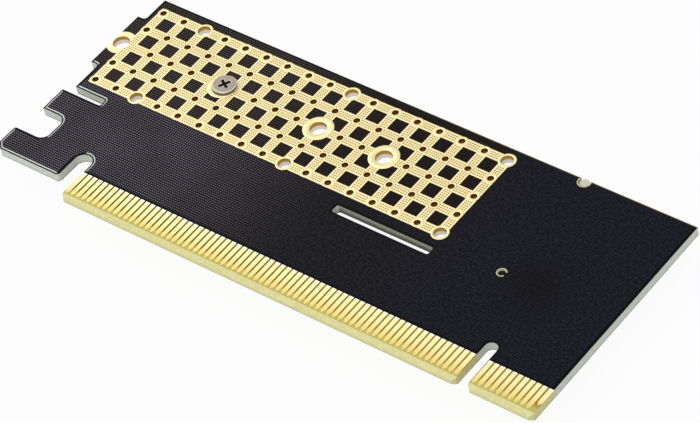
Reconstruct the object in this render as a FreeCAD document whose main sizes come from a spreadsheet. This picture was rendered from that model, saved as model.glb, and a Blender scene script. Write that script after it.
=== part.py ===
import FreeCAD, Part
import math
import os

import Sketcher

# A plug-in card that carries an M.2 drive in a PCI Express x16 slot. Millimetres.
# The card lies flat with its solder side up. The origin is the card-edge datum: the middle of the key
# notch, on the card edge, halfway through the board. +X runs to the bracket end, +Y away from the card
# edge, +Z out of the solder side. Sizes called "reach" run from the key notch towards -X, and sizes
# called "rise" run from the card edge towards +Y.

SIZES = {
    # Layers of the board
    "core_thickness": 1.4,
    "mask_thickness": 0.03,
    # Outline of the board: beside the drive, then the hook, then the blade with its contacts
    "top_margin": 10.3,
    "tab_web": 0.075,
    "tab_depth": 1.42,
    "tab_above_drive": 5.6,
    "tab_below_drive": 5.4,
    "relief_below_drive": 10.65,
    "relief_length": 7.35,
    "relief_width": 1.4,
    "latch_notch_top_rise": 12.6,
    "latch_notch_width": 5.1,
    "hook_stem": 6.62,
    "hook_tip": 5.7,
    "hook_bottom_rise": 3.0,
    "hook_bevel": 1.0,
    "hook_gap_width": 2.98,
    "hook_gap_rise": 8.35,
    "blade_margin": 0.05,
    "key_width": 2.0,
    "key_rise": 8.2,
    "blade_corner": 0.5,
    "bevel_rise": 0.75,
    "bevel_depth": 0.35,
    "latch_radius": 1.5,
    "step_radius": 0.6,
    "corner_radius": 0.4,
    # Closed slot beside the drive
    "window_reach": 35.1,
    "window_length": 17.1,
    "window_below_grid": 2.8,
    "window_width": 1.45,
    "window_radius": 0.4,
    # Edge contacts
    "contact_pitch": 1.0,
    "contact_width": 0.7,
    "contact_key_gap": 1.5,
    "contact_top_rise": 5.32,
    "contact_tip_rise": 0.8,
    "short_tip_rise": 2.0,
    "contact_taper": 0.6,
    # Grid of plated thermal vias
    "grid_margin": 1.65,
    "grid_pitch": 4.0,
    "bar_width": 1.66,
    "via_bore": 1.05,
    "sink_bore": 2.0,
    "sink_land": 2.7,
    # The drive's centre line, where its edge stops in the socket, and how far beyond lie its fixing holes
    "drive_rise": 29.1,
    "drive_stop": 5.0,
    "drive_short": 30.0,
    "drive_middle": 42.0,
    "drive_long": 60.0,
    "drive_full": 79.65,
    "fixing_bore": 2.65,
    "fixing_land": 4.7,
    # Drive socket on the component side
    "socket_reach": 6.95,
    "socket_width": 21.9,
    "socket_depth": 6.4,
    "socket_front": 3.2,
    "socket_height": 4.2,
    "mouth_width": 20.1,
    "mouth_height": 1.0,
    "mouth_middle": 2.85,
    "socket_key_offset": 6.125,
    "socket_key_width": 1.2,
    "peg_spacing": 19.75,
    "near_peg_bore": 1.15,
    "near_peg": 1.05,
    "far_peg_bore": 1.8,
    "far_peg": 1.5,
    "peg_length": 1.2,
    "pin_pitch": 0.5,
    "pin_width": 0.2,
    "pin_thickness": 0.15,
    "upper_pin_rise": 3.1,
    "lower_pin_rise": 1.2,
    "pin_foot": 1.0,
    "tab_width": 0.7,
    "tab_thickness": 0.25,
    "tab_rise": 2.0,
    "tab_foot": 1.2,
    "tab_inset": 1.05,
    # Standoff and its screw
    "standoff_height": 2.45,
    "standoff_flats": 4.4,
    "spigot_clearance": 0.06,
    "spigot_length": 1.0,
    "drive_thread": 1.6,
    "drive_thread_length": 1.4,
    "shank": 1.9,
    "shank_clearance": 0.05,
    "shank_gap": 0.2,
    "head": 3.8,
    "head_height": 0.55,
    "head_rim": 0.2,
    "recess_span": 1.7,
    "recess_width": 0.42,
    "recess_depth": 0.35,
    "recess_turn": 55.0,
}

# Positions of the edge contacts count from the bracket end; the key notch comes after position 11.
POSITIONS_BEFORE_KEY = 11
POSITIONS = 82
SHORT_ON_SOLDER_SIDE = (1,)
SHORT_ON_COMPONENT_SIDE = (17, 31, 48, 81)

# The grid of vias: its columns and rows, where the larger holes are, and where the middle row has no via
# because a fixing hole's land or a mating pad takes its place.
COLUMNS = 17
ROWS = 5
SINK_COLUMNS = (2, 9, 16)
BARE_MIDDLE_COLUMNS = (0, 4, 5, 9, 12)
VIA_SIDES = 8

# Drive socket pins: the upper row holds the odd numbers and the lower row the even ones, and the key
# takes the place of four in each.
UPPER_PINS = tuple(range(1, 76, 2))
LOWER_PINS = tuple(range(2, 75, 2))
KEYED_PINS = tuple(range(59, 67))

# Chip parts on the component side: name, how far towards the bracket and away from the card edge they
# lie from the socket's pegs and the drive's centre line, which way they lie, length, width, height and
# the length of each end cap.
ALONG_X, ALONG_Y = 0, 90
CHIPS = (
    ("bulk_capacitor_1", 8.15, -4.5, ALONG_Y, 3.2, 1.6, 1.4, 0.5),
    ("bulk_capacitor_2", 8.15, 0.0, ALONG_Y, 3.2, 1.6, 1.4, 0.5),
    ("bulk_capacitor_3", 8.15, 4.5, ALONG_Y, 3.2, 1.6, 1.4, 0.5),
    ("bypass_capacitor_1", 10.85, -4.5, ALONG_Y, 1.6, 0.8, 0.8, 0.35),
    ("bypass_capacitor_2", 10.85, 0.0, ALONG_Y, 1.6, 0.8, 0.8, 0.35),
    ("bypass_capacitor_3", 10.85, 4.5, ALONG_Y, 1.6, 0.8, 0.8, 0.35),
    ("bypass_capacitor_4", 8.15, -8.5, ALONG_Y, 1.6, 0.8, 0.8, 0.35),
    ("power_lamp", 16.15, 5.5, ALONG_Y, 1.6, 0.8, 0.6, 0.35),
    ("power_lamp_resistor", 13.95, 5.5, ALONG_Y, 1.0, 0.5, 0.35, 0.2),
    ("activity_lamp", 16.15, 2.1, ALONG_Y, 1.6, 0.8, 0.6, 0.35),
    ("activity_lamp_resistor", 13.95, 2.1, ALONG_Y, 1.0, 0.5, 0.35, 0.2),
    ("pull_up_resistor_1", -7.05, -16.5, ALONG_X, 1.0, 0.5, 0.35, 0.2),
    ("pull_up_resistor_2", -7.05, -17.9, ALONG_X, 1.0, 0.5, 0.35, 0.2),
)
CHIP_SIZES = ("ahead", "beside", "turn", "length", "width", "height", "cap")
CHIP_CAP_STEP = 0.02

# Parts of tools that cut past the faces they open.
OVERCUT = 1.0


class Size:
    """A size: the value it has now, and the expression in the sheet's names that drives it."""

    def __init__(self, value, text):
        self.value = value
        self.text = text

    def __add__(self, other):
        other = as_size(other)
        return Size(self.value + other.value, f"({self.text} + {other.text})")

    def __sub__(self, other):
        other = as_size(other)
        return Size(self.value - other.value, f"({self.text} - {other.text})")

    def __mul__(self, factor):
        return Size(self.value * factor, f"({self.text} * {factor})")

    def __truediv__(self, factor):
        return Size(self.value / factor, f"({self.text} / {factor})")

    def __neg__(self):
        return Size(-self.value, f"(0 - {self.text})")


def as_size(number):
    return number if isinstance(number, Size) else Size(number, f"({number})")


class Sheet:
    """The spreadsheet of driving dimensions; sheet.name is the Size of that name."""

    def __init__(self, document):
        self.cells = document.addObject("Spreadsheet::Sheet", "Sizes")
        self.rows = 0

    def add(self, name, value):
        self.rows += 1
        self.cells.set(f"A{self.rows}", name)
        self.cells.set(f"B{self.rows}", str(value))
        self.cells.setAlias(f"B{self.rows}", name)
        setattr(self, name, Size(value, f"Sizes.{name}"))


doc = FreeCAD.newDocument("adapter_card")
size = Sheet(doc)
for alias, number in SIZES.items():
    size.add(alias, number)
for chip in CHIPS:
    for what, number in zip(CHIP_SIZES, chip[1:]):
        size.add(f"{chip[0]}_{what}", number)
size.add("chip_cap_step", CHIP_CAP_STEP)
size.add("overcut", OVERCUT)
doc.recompute()

# Sizes that follow from the driving ones
core_half = size.core_thickness / 2
stack_half = core_half + size.mask_thickness
full_reach = size.drive_stop + size.drive_full
long_reach = size.drive_stop + size.drive_long
fixing_reaches = (
    size.drive_stop + size.drive_short,
    size.drive_stop + size.drive_middle,
    long_reach,
    full_reach,
)
grid_reach = full_reach - size.grid_margin
grid_rise = size.drive_rise - size.grid_pitch * ((ROWS - 1) / 2)
near_peg_rise = size.drive_rise - size.peg_spacing / 2
far_peg_rise = size.drive_rise + size.peg_spacing / 2
board_rise = size.drive_rise + size.top_margin
tab_reach = full_reach + size.fixing_bore / 2 + size.tab_web
tab_top_rise = size.drive_rise + size.tab_above_drive
tab_bottom_rise = size.drive_rise - size.tab_below_drive
rear_reach = tab_reach - size.tab_depth
relief_reach = tab_reach - size.relief_length
relief_top_rise = size.drive_rise - size.relief_below_drive
relief_bottom_rise = relief_top_rise - size.relief_width
window_top_rise = grid_rise - size.window_below_grid
window_bottom_rise = window_top_rise - size.window_width
first_contact = size.contact_key_gap + size.contact_pitch * (POSITIONS_BEFORE_KEY - 1)
last_contact = size.contact_key_gap + size.contact_pitch * (POSITIONS - POSITIONS_BEFORE_KEY - 1)
bracket_side = first_contact + size.contact_width / 2
blade_reach = last_contact + size.contact_width / 2 + size.blade_margin
hook_right_reach = blade_reach + size.hook_gap_width
latch_notch_reach = hook_right_reach + size.hook_stem
latch_notch_bottom_rise = size.latch_notch_top_rise - size.latch_notch_width
hook_reach = latch_notch_reach + size.hook_tip


# ---------------------------------------------------------------------------------------------------
# Helpers
# ---------------------------------------------------------------------------------------------------


def bind(thing, name, length):
    """Drive one property of a document object by a size."""
    thing.setExpression(name, as_size(length).text)


def new_body(name):
    body = doc.addObject("PartDesign::Body", name)
    body.Label = name
    return body


def origin_feature(body, role):
    return next(f for f in body.Origin.OriginFeatures if f.Role == role)


def new_sketch(body, name, role="XY_Plane", offset=None):
    """A sketch on one of the body's origin planes, moved along the plane's normal by offset."""
    sketch = body.newObject("Sketcher::SketchObject", name)
    sketch.AttachmentSupport = (origin_feature(body, role), [""])
    sketch.MapMode = "FlatFace"
    if offset is not None:
        bind(sketch, ".AttachmentOffset.Base.z", offset)
    return sketch


def hold(sketch, geometry, point, across, up):
    """Hold a point of the sketch at its two distances from the sketch's origin."""
    for kind, distance in (("DistanceX", across), ("DistanceY", up)):
        distance = as_size(distance)
        constraint = Sketcher.Constraint(kind, -1, 1, geometry, point, distance.value)
        index = sketch.addConstraint(constraint)
        bind(sketch, f"Constraints[{index}]", distance)


def draw_polygon(sketch, corners):
    """A closed line through the corners, each given as two sizes."""
    points = [FreeCAD.Vector(as_size(x).value, as_size(y).value, 0) for x, y in corners]
    first = sketch.GeometryCount
    count = len(points)
    for i in range(count):
        sketch.addGeometry(Part.LineSegment(points[i], points[(i + 1) % count]), False)
    for i in range(count):
        sketch.addConstraint(Sketcher.Constraint("Coincident", first + i, 2, first + (i + 1) % count, 1))
    for i, (x, y) in enumerate(corners):
        hold(sketch, first + i, 1, x, y)


def draw_rectangle(sketch, left, bottom, right, top):
    draw_polygon(sketch, [(left, bottom), (right, bottom), (right, top), (left, top)])


def draw_circles(sketch, centres, diameter):
    """Circles of one diameter; the first carries the size and the rest are equal to it."""
    first = sketch.GeometryCount
    for i, (x, y) in enumerate(centres):
        centre = FreeCAD.Vector(x.value, y.value, 0)
        sketch.addGeometry(Part.Circle(centre, FreeCAD.Vector(0, 0, 1), diameter.value / 2), False)
        hold(sketch, first + i, 3, x, y)
        if i == 0:
            index = sketch.addConstraint(Sketcher.Constraint("Diameter", first, diameter.value))
            bind(sketch, f"Constraints[{index}]", diameter)
        else:
            sketch.addConstraint(Sketcher.Constraint("Equal", first, first + i))


def draw_round_slot(sketch, middle, bottom, top, width):
    """A slot up from bottom, as wide as width, that ends in a half circle at top."""
    radius = width / 2
    left, right, spring = middle - radius, middle + radius, top - radius
    z_axis = FreeCAD.Vector(0, 0, 1)
    corners = [(left, spring), (left, bottom), (right, bottom), (right, spring)]
    points = [FreeCAD.Vector(x.value, as_size(y).value, 0) for x, y in corners]
    for start, end in zip(points, points[1:]):
        sketch.addGeometry(Part.LineSegment(start, end), False)
    circle = Part.Circle(FreeCAD.Vector(middle.value, spring.value, 0), z_axis, radius.value)
    crown = sketch.addGeometry(Part.ArcOfCircle(circle, 0, math.pi), False)
    sketch.addConstraint(Sketcher.Constraint("Coincident", 0, 2, 1, 1))
    sketch.addConstraint(Sketcher.Constraint("Coincident", 1, 2, 2, 1))
    sketch.addConstraint(Sketcher.Constraint("Coincident", 2, 2, crown, 1))
    sketch.addConstraint(Sketcher.Constraint("Coincident", crown, 2, 0, 1))
    for line in (0, 1):
        hold(sketch, line, 1, *corners[line])
        hold(sketch, line + 1, 2, *corners[line + 2])
    index = sketch.addConstraint(Sketcher.Constraint("DistanceY", -1, 1, crown, 3, spring.value))
    bind(sketch, f"Constraints[{index}]", spring)


def pad(body, sketch, length, both_ways=False, reverse=False):
    feature = body.newObject("PartDesign::Pad", sketch.Name + "_pad")
    feature.Profile = sketch
    bind(feature, "Length", length)
    feature.SideType = "Symmetric" if both_ways else "One side"
    feature.Reversed = reverse
    return feature


def pocket_through(body, sketch):
    """Cut the sketch right through the body, on both sides of its plane."""
    before = body.Tip
    doc.recompute()
    solid_before = before.Shape.Volume
    feature = body.newObject("PartDesign::Pocket", sketch.Name + "_cut")
    feature.Profile = sketch
    feature.Type = "ThroughAll"
    feature.SideType = "Symmetric"
    doc.recompute()
    if not feature.Shape.Volume < solid_before:
        raise ValueError(f"{feature.Name} cut nothing")
    return feature


def repeat(body, feature, role, span, copies):
    """Copies of a feature along an axis of the body, evenly spread over span."""
    pattern = body.newObject("PartDesign::LinearPattern", feature.Name + "_row")
    pattern.Originals = [feature]
    pattern.Direction = (origin_feature(body, role), [""])
    bind(pattern, "Length", span)
    pattern.Occurrences = copies
    body.Tip = pattern
    return pattern


def multiply(body, feature, ways):
    """Copies that stand apart, along several axes, each given as (axis, step, number of steps)."""
    ways = [way for way in ways if way[2] > 0]
    if not ways:
        return
    grid = body.newObject("PartDesign::MultiTransform", feature.Name + "_grid")
    grid.Originals = [feature]
    grid.Refine = False
    patterns = []
    for role, step, steps in ways:
        pattern = body.newObject("PartDesign::LinearPattern", f"{feature.Name}_along_{role[0]}")
        pattern.Direction = (origin_feature(body, role), [""])
        bind(pattern, "Length", step * steps)
        pattern.Occurrences = steps + 1
        patterns.append(pattern)
    grid.Transformations = patterns
    body.Tip = grid


def upright_edges(shape, places):
    """Names of the edges that stand along Z at the places given as two sizes."""
    names = []
    for x, y in places:
        target = FreeCAD.Vector(as_size(x).value, as_size(y).value, 0)
        for i, edge in enumerate(shape.Edges, 1):
            low, high = edge.BoundBox.ZMin, edge.BoundBox.ZMax
            foot = FreeCAD.Vector(edge.CenterOfMass.x, edge.CenterOfMass.y, 0)
            if high - low > 0.5 * shape.BoundBox.ZLength and foot.distanceToPoint(target) < 1e-4:
                names.append(f"Edge{i}")
                break
        else:
            raise ValueError(f"no upright edge at {target}")
    return names


def dress(body, kind, name, places, length):
    """A fillet or chamfer on the upright edges at the places."""
    base = body.Tip
    doc.recompute()
    feature = body.newObject("PartDesign::" + kind, name)
    feature.Base = (base, upright_edges(base.Shape, places))
    bind(feature, "Radius" if kind == "Fillet" else "Size", length)
    return feature


def box(name, low, high):
    """A box between two corners, each given as three sizes."""
    block = doc.addObject("Part::Box", name)
    for side, axis, a, b in zip(("Length", "Width", "Height"), "xyz", low, high):
        a, b = as_size(a), as_size(b)
        bind(block, side, b - a)
        bind(block, f".Placement.Base.{axis}", a)
    return block


def combine(kind, name, base, tool):
    result = doc.addObject("Part::" + kind, name)
    result.Base = base
    result.Tool = tool
    result.Label = name
    return result


def column_x(column):
    return -grid_reach + size.grid_pitch * column


def row_y(row):
    return grid_rise + size.grid_pitch * row


# ---------------------------------------------------------------------------------------------------
# The board: one routed and drilled blank, cut into its layers
# ---------------------------------------------------------------------------------------------------


def routed_blank():
    """The full stack of core and masks, routed to its outline, with the holes that go through both."""
    body = new_body("board_blank")
    outline = new_sketch(body, "outline")
    draw_polygon(
        outline,
        [
            (bracket_side, 0),
            (bracket_side, board_rise),
            (-rear_reach, board_rise),
            (-rear_reach, tab_top_rise),
            (-tab_reach, tab_top_rise),
            (-tab_reach, tab_bottom_rise),
            (-rear_reach, tab_bottom_rise),
            (-rear_reach, relief_top_rise),
            (-relief_reach, relief_top_rise),
            (-relief_reach, relief_bottom_rise),
            (-tab_reach, relief_bottom_rise),
            (-tab_reach, size.latch_notch_top_rise),
            (-latch_notch_reach, size.latch_notch_top_rise),
            (-latch_notch_reach, latch_notch_bottom_rise),
            (-hook_reach, latch_notch_bottom_rise),
            (-hook_reach, size.hook_bottom_rise),
            (-blade_reach, size.hook_bottom_rise),
            (-blade_reach, 0),
        ],
    )
    pad(body, outline, stack_half * 2, both_ways=True)

    hook_gap = new_sketch(body, "hook_gap")
    gap_middle = -(blade_reach + size.hook_gap_width / 2)
    draw_round_slot(hook_gap, gap_middle, -size.overcut, size.hook_gap_rise, size.hook_gap_width)
    pocket_through(body, hook_gap)
    key = new_sketch(body, "key_notch")
    draw_round_slot(key, as_size(0), -size.overcut, size.key_rise, size.key_width)
    pocket_through(body, key)
    window = new_sketch(body, "side_window")
    window_right = size.window_length - size.window_reach
    draw_rectangle(window, -size.window_reach, window_bottom_rise, window_right, window_top_rise)
    pocket_through(body, window)

    inner_latch = [
        (-latch_notch_reach, size.latch_notch_top_rise),
        (-latch_notch_reach, latch_notch_bottom_rise),
    ]
    dress(body, "Fillet", "latch_notch_fillet", inner_latch, size.latch_radius)
    steps = [
        (-rear_reach, tab_top_rise),
        (-rear_reach, tab_bottom_rise),
        (-hook_right_reach, size.hook_bottom_rise),
    ]
    dress(body, "Fillet", "step_fillet", steps, size.step_radius)
    corners = [
        (-relief_reach, relief_top_rise),
        (-relief_reach, relief_bottom_rise),
        (-hook_reach, latch_notch_bottom_rise),
    ]
    dress(body, "Fillet", "corner_fillet", corners, size.corner_radius)
    window_corners = [
        (x, y) for x in (-size.window_reach, window_right) for y in (window_bottom_rise, window_top_rise)
    ]
    dress(body, "Fillet", "window_fillet", window_corners, size.window_radius)
    hook_corner = [(-hook_reach, size.hook_bottom_rise)]
    dress(body, "Chamfer", "hook_chamfer", hook_corner, size.hook_bevel)
    blade_corners = [
        (-blade_reach, 0),
        (-size.key_width / 2, 0),
        (size.key_width / 2, 0),
        (bracket_side, 0),
    ]
    dress(body, "Chamfer", "blade_chamfer", blade_corners, size.blade_corner)

    for name, rise, bore in (
        ("near_peg_hole", near_peg_rise, size.near_peg_bore),
        ("far_peg_hole", far_peg_rise, size.far_peg_bore),
    ):
        peg_hole = new_sketch(body, name)
        draw_circles(peg_hole, [(-size.socket_reach, rise)], bore)
        pocket_through(body, peg_hole)
    return body


def drill_and_bevel(body):
    """The holes that the masks leave bare all round, and the bevel on the card edge."""
    fixing = new_sketch(body, "fixing_holes")
    draw_circles(fixing, [(-reach, size.drive_rise) for reach in fixing_reaches], size.fixing_bore)
    pocket_through(body, fixing)
    sink = new_sketch(body, "sink_holes")
    draw_circles(sink, [(column_x(c), row_y(0)) for c in SINK_COLUMNS], size.sink_bore)
    repeat(body, pocket_through(body, sink), "Y_Axis", size.grid_pitch * (ROWS - 1), 2)
    bevel_edge(body)


def via_drills():
    """A drill for each plated via: full rows, outer rows with room for sink holes, and a middle row."""
    body = new_body("via_drills")
    drill_run(body, 0, COLUMNS - 1, 1, 3)
    for first, last in runs_between(SINK_COLUMNS):
        drill_run(body, first, last, 0, ROWS - 1)
    for first, last in runs_between(BARE_MIDDLE_COLUMNS):
        drill_run(body, first, last, 2, 2)
    return body


def runs_between(left_out):
    """The runs of neighbouring columns that stay when some are left out."""
    walls = (-1, *left_out, COLUMNS)
    return [(a + 1, b - 1) for a, b in zip(walls, walls[1:]) if b - a > 1]


def drill_run(body, first, last, low_row, high_row):
    """Drills in a run of columns, in one row or in two; each is a many-sided prism as wide as its via."""
    drill = body.newObject("PartDesign::AdditivePrism", f"drill_{low_row}_{first}")
    drill.Polygon = VIA_SIDES
    drill.Refine = False
    bind(drill, "Circumradius", size.via_bore / 2 / math.cos(math.pi / VIA_SIDES))
    bind(drill, "Height", (core_half + size.overcut) * 2)
    bind(drill, ".Placement.Base.x", column_x(first))
    bind(drill, ".Placement.Base.y", row_y(low_row))
    bind(drill, ".Placement.Base.z", -core_half - size.overcut)
    ways = [("X_Axis", size.grid_pitch, last - first)]
    if high_row > low_row:
        ways.append(("Y_Axis", size.grid_pitch * (high_row - low_row), 1))
    multiply(body, drill, ways)


def bevel_edge(body):
    """The lead-in bevel on both sides of the card edge."""
    profile = new_sketch(body, "edge_bevel", "YZ_Plane")
    for side in (1, -1):
        draw_polygon(
            profile,
            [
                (0, (core_half - size.bevel_depth) * side),
                (size.bevel_rise, core_half * side),
                (size.bevel_rise, (stack_half + size.overcut) * side),
                (0, (stack_half + size.overcut) * side),
            ],
        )
    pocket_through(body, profile)


def drive_opening():
    """The field behind the drive, with the lands round its holes, that both masks leave bare."""
    body = new_body("drive_opening")
    half_bar = size.bar_width / 2
    depth = (stack_half + size.overcut) * 2
    field = new_sketch(body, "via_field")
    draw_rectangle(
        field,
        column_x(0) - half_bar,
        row_y(0) - half_bar,
        column_x(COLUMNS - 1) + half_bar,
        row_y(ROWS - 1) + half_bar,
    )
    pad(body, field, depth, both_ways=True)
    add_lands(body, "opening", depth)
    return body


def add_lands(body, name, depth):
    """Round lands about the sink holes and the drive's fixing holes."""
    sink = new_sketch(body, name + "_sink_lands")
    draw_circles(sink, [(column_x(c), row_y(0)) for c in SINK_COLUMNS], size.sink_land)
    lands = pad(body, sink, depth, both_ways=True)
    repeat(body, lands, "Y_Axis", size.grid_pitch * (ROWS - 1), 2)
    fixing = new_sketch(body, name + "_fixing_lands")
    draw_circles(fixing, [(-reach, size.drive_rise) for reach in fixing_reaches], size.fixing_land)
    pad(body, fixing, depth, both_ways=True)


def mask_squares():
    """The squares of mask between the grid's bars."""
    body = new_body("mask_squares")
    square = new_sketch(body, "mask_square", offset=core_half)
    half_bar = size.bar_width / 2
    draw_rectangle(
        square,
        column_x(0) + half_bar,
        row_y(0) + half_bar,
        column_x(1) - half_bar,
        row_y(1) - half_bar,
    )
    first = pad(body, square, size.mask_thickness)
    multiply(
        body,
        first,
        [("X_Axis", size.grid_pitch, COLUMNS - 2), ("Y_Axis", size.grid_pitch, ROWS - 2)],
    )
    return body


def board_layers():
    """The core, and the mask on each side, cut from the one blank."""
    blank = routed_blank()
    doc.recompute()
    routed = blank.Tip
    drill_and_bevel(blank)
    low_x, high_x = -hook_reach - size.overcut, bracket_side + size.overcut
    low_y, high_y = -size.overcut, board_rise + size.overcut
    slab = box("core_slab", (low_x, low_y, -core_half), (high_x, high_y, core_half))
    drilled = combine("Cut", "circuit_board", combine("Common", "core", blank, slab), via_drills())

    mask_y = size.contact_top_rise
    slab = box("solder_slab", (low_x, mask_y, core_half), (high_x, high_y, stack_half))
    # The solder side's mask also covers the whole hook, below the line where the contacts begin.
    hook_slab = box("hook_slab", (low_x, low_y, core_half), (-hook_right_reach, mask_y, stack_half))
    sheet = combine("Common", "solder_sheet", routed, combine("Fuse", "solder_area", slab, hook_slab))
    opening = drive_opening()
    surround = combine("Cut", "solder_surround", sheet, opening)
    lands = new_body("land_opening")
    add_lands(lands, "land", (stack_half + size.overcut) * 2)
    squares = combine("Cut", "clear_squares", mask_squares(), lands)
    solder_mask = combine("Fuse", "solder_mask_back", surround, squares)

    slab = box("front_slab", (low_x, mask_y, -stack_half), (high_x, high_y, -core_half))
    sheet = combine("Common", "front_sheet", routed, slab)
    front_mask = combine("Cut", "solder_mask_front", sheet, opening)
    return [drilled, solder_mask, front_mask]


# ---------------------------------------------------------------------------------------------------
# Edge contacts
# ---------------------------------------------------------------------------------------------------


def contact_x(position):
    """The middle of an edge contact, on the bracket's side of the key notch or beyond it."""
    if position <= POSITIONS_BEFORE_KEY:
        return size.contact_key_gap + size.contact_pitch * (POSITIONS_BEFORE_KEY - position)
    return -size.contact_key_gap - size.contact_pitch * (position - POSITIONS_BEFORE_KEY - 1)


def runs_of_contacts(short_ones):
    """Runs of like contacts, as (first position, last position, whether they are short)."""
    runs = []
    for position in range(1, POSITIONS + 1):
        short = position in short_ones
        starts = not runs or short or runs[-1][2] or position == POSITIONS_BEFORE_KEY + 1
        if starts:
            runs.append([position, position, short])
        else:
            runs[-1][1] = position
    return runs


def edge_contacts(name, side, short_ones):
    """One side's gold fingers, each with a tapered tip."""
    body = new_body(name)
    half = size.contact_width / 2
    offset = core_half if side > 0 else -stack_half
    for first, last, short in runs_of_contacts(short_ones):
        tip = size.short_tip_rise if short else size.contact_tip_rise
        middle = contact_x(last)
        finger = new_sketch(body, f"{name}_{last}", offset=offset)
        draw_polygon(
            finger,
            [
                (middle, tip),
                (middle + half, tip + size.contact_taper),
                (middle + half, size.contact_top_rise),
                (middle - half, size.contact_top_rise),
                (middle - half, tip + size.contact_taper),
            ],
        )
        blade = pad(body, finger, size.mask_thickness)
        if last > first:
            repeat(body, blade, "X_Axis", size.contact_pitch * (last - first), last - first + 1)
    return body


# ---------------------------------------------------------------------------------------------------
# Drive socket, on the component side; heights run down from the mask
# ---------------------------------------------------------------------------------------------------

socket_mouth_x = -size.socket_reach - size.socket_front
socket_rear_x = socket_mouth_x + size.socket_depth
socket_foot_z = -stack_half


def socket_housing():
    body = new_body("socket_housing")
    half = size.socket_width / 2
    block = new_sketch(body, "socket_block", offset=socket_foot_z)
    low_y, high_y = size.drive_rise - half, size.drive_rise + half
    draw_rectangle(block, socket_mouth_x, low_y, socket_rear_x, high_y)
    pad(body, block, size.socket_height, reverse=True)

    mouth = new_sketch(body, "socket_mouth", "YZ_Plane", offset=socket_mouth_x)
    low_z = socket_foot_z - size.mouth_middle - size.mouth_height / 2
    high_z = socket_foot_z - size.mouth_middle + size.mouth_height / 2
    key_middle = size.drive_rise + size.socket_key_offset
    half_key, half_mouth = size.socket_key_width / 2, size.mouth_width / 2
    draw_rectangle(mouth, size.drive_rise - half_mouth, low_z, key_middle - half_key, high_z)
    draw_rectangle(mouth, key_middle + half_key, low_z, size.drive_rise + half_mouth, high_z)
    doc.recompute()
    solid_before = body.Shape.Volume
    cut = body.newObject("PartDesign::Pocket", "socket_mouth_cut")
    cut.Profile = mouth
    bind(cut, "Length", -socket_mouth_x - size.drive_stop)
    cut.Reversed = True
    doc.recompute()
    if not cut.Shape.Volume < solid_before:
        raise ValueError("the socket's mouth cut nothing")

    for name, rise, peg in (
        ("near_peg", near_peg_rise, size.near_peg),
        ("far_peg", far_peg_rise, size.far_peg),
    ):
        circle = new_sketch(body, name, offset=socket_foot_z)
        draw_circles(circle, [(-size.socket_reach, rise)], peg)
        pad(body, circle, size.peg_length)
    return body


def bent_foot(body, name, face_x, outwards, rise, thickness, foot, middle_y, width):
    """A strip that stands against a face of the housing and turns out along the board."""
    sketch = new_sketch(body, name, "XZ_Plane", offset=-(middle_y + width / 2))
    near, far = face_x, face_x + thickness * outwards
    end = face_x + foot * outwards
    top, bottom = socket_foot_z, socket_foot_z - thickness
    draw_polygon(
        sketch,
        [(near, top), (end, top), (end, bottom), (far, bottom), (far, top - rise), (near, top - rise)],
    )
    return pad(body, sketch, width, reverse=False)


def socket_contacts(name, pins, face_x, outwards, rise):
    """One row of the socket's contacts, in two runs with the key between them."""
    body = new_body(name)
    before = [p for p in pins if p < KEYED_PINS[0]]
    after = [p for p in pins if p > KEYED_PINS[-1]]
    middle_pin = (pins[0] + pins[-1]) / 2
    for i, run in enumerate((before, after)):
        middle_y = size.drive_rise + size.pin_pitch * ((run[0] - middle_pin) / 2)
        strip = bent_foot(
            body, f"{name}_{i}", face_x, outwards, rise, size.pin_thickness, size.pin_foot, middle_y,
            size.pin_width,
        )
        repeat(body, strip, "Y_Axis", size.pin_pitch * (len(run) - 1), len(run))
    return body


def socket_hold_down(name, towards):
    body = new_body(name)
    middle_y = size.drive_rise + (size.socket_width / 2 - size.tab_inset) * towards
    bent_foot(
        body, name + "_strip", socket_rear_x, 1, size.tab_rise, size.tab_thickness, size.tab_foot,
        middle_y, size.tab_width,
    )
    return body


# ---------------------------------------------------------------------------------------------------
# Standoff and screw, at the long drive's fixing hole
# ---------------------------------------------------------------------------------------------------


def place_at_fixing(body):
    bind(body, ".Placement.Base.x", -long_reach)
    bind(body, ".Placement.Base.y", size.drive_rise)


def standoff():
    """A hexagonal nut with a spigot in the board's hole, threaded for the drive's screw."""
    body = new_body("standoff")
    prism = body.newObject("PartDesign::AdditivePrism", "standoff_hexagon")
    prism.Polygon = 6
    bind(prism, "Circumradius", size.standoff_flats / math.sqrt(3))
    bind(prism, "Height", size.standoff_height)
    bind(prism, ".Placement.Base.z", -core_half - size.standoff_height)
    spigot = new_sketch(body, "standoff_spigot", offset=-core_half)
    origin = (as_size(0), as_size(0))
    draw_circles(spigot, [origin], size.fixing_bore - size.spigot_clearance * 2)
    pad(body, spigot, size.spigot_length)
    thread = new_sketch(body, "standoff_thread")
    draw_circles(thread, [origin], size.drive_thread)
    pocket_through(body, thread)
    bore = new_sketch(body, "standoff_bore", offset=size.spigot_length - core_half)
    draw_circles(bore, [origin], size.shank + size.shank_clearance * 2)
    doc.recompute()
    cut = body.newObject("PartDesign::Pocket", "standoff_bore_cut")
    cut.Profile = bore
    bind(cut, "Length", size.spigot_length + size.standoff_height - size.drive_thread_length)
    place_at_fixing(body)
    return body


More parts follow.
